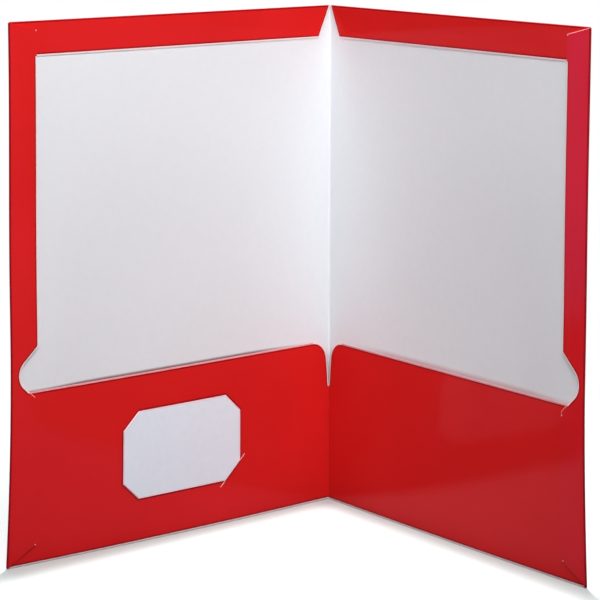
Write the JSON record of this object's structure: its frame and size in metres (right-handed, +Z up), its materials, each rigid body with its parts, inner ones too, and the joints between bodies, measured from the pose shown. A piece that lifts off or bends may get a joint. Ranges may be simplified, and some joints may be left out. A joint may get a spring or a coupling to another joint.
{
  "type": "two pocket folder",
  "caption": "Letter-size presentation folder in film-laminated board, with hemmed edges, a pocket inside each cover and diagonal slits that hold a card.",
  "frame": {"origin": "middle of the bounding box of the open folder, at the foot of its folded bottom edges, which is the surface it stands on", "axes": "+Z up along the spine, +Y towards the spine, so the folder opens towards -Y; +X towards the free edge of the back cover, and the front cover is on the -X side"},
  "size_m": [0.3052, 0.1882, 0.2985],
  "materials": {
    "white_board": "matte",
    "red_film": "gloss",
    "red_fold": "gloss",
    "dried_glue": "satin",
    "card_stock": "satin"
  },
  "bodies": {
    "back_cover": {"back_cover_board": "white_board", "back_cover_film": "red_film", "back_top_fold": "red_fold", "back_top_hem_board": "white_board", "back_top_hem_film": "red_film", "back_bottom_fold": "red_fold", "back_pocket_board": "white_board", "back_pocket_film": "red_film", "back_side_fold": "red_fold", "back_side_flap_board": "white_board", "back_side_flap_film": "red_film", "back_hem_glue": "dried_glue", "back_flap_hem_glue": "dried_glue", "back_flap_pocket_glue": "dried_glue"},
    "spine": {"spine_board": "white_board", "spine_film": "red_film", "front_crease": "red_fold", "back_crease": "red_fold"},
    "front_cover": {"front_cover_board": "white_board", "front_cover_film": "red_film", "front_top_fold": "red_fold", "front_top_hem_board": "white_board", "front_top_hem_film": "red_film", "front_bottom_fold": "red_fold", "front_pocket_board": "white_board", "front_pocket_film": "red_film", "front_side_fold": "red_fold", "front_side_flap_board": "white_board", "front_side_flap_film": "red_film", "front_hem_glue": "dried_glue", "front_flap_hem_glue": "dried_glue", "front_flap_pocket_glue": "dried_glue", "business_card": "card_stock"}
  },
  "joints": [
    {"name": "front_crease_fold", "type": "hinge", "parent": "spine", "child": "front_cover", "pos_m": [-0.00073, 0.09379, 0], "axis": [0, 0, 1], "range_deg": [-51, 38.8], "deforming": ["front_crease"]},
    {"name": "back_crease_fold", "type": "hinge", "parent": "spine", "child": "back_cover", "pos_m": [0.00073, 0.09379, 0], "axis": [0, 0, -1], "range_deg": [-51, 38.8], "deforming": ["back_crease"]}
  ],
  "couplings": [
    {"joint": "back_crease_fold", "follows": "front_crease_fold", "ratio": 1}
  ]
}
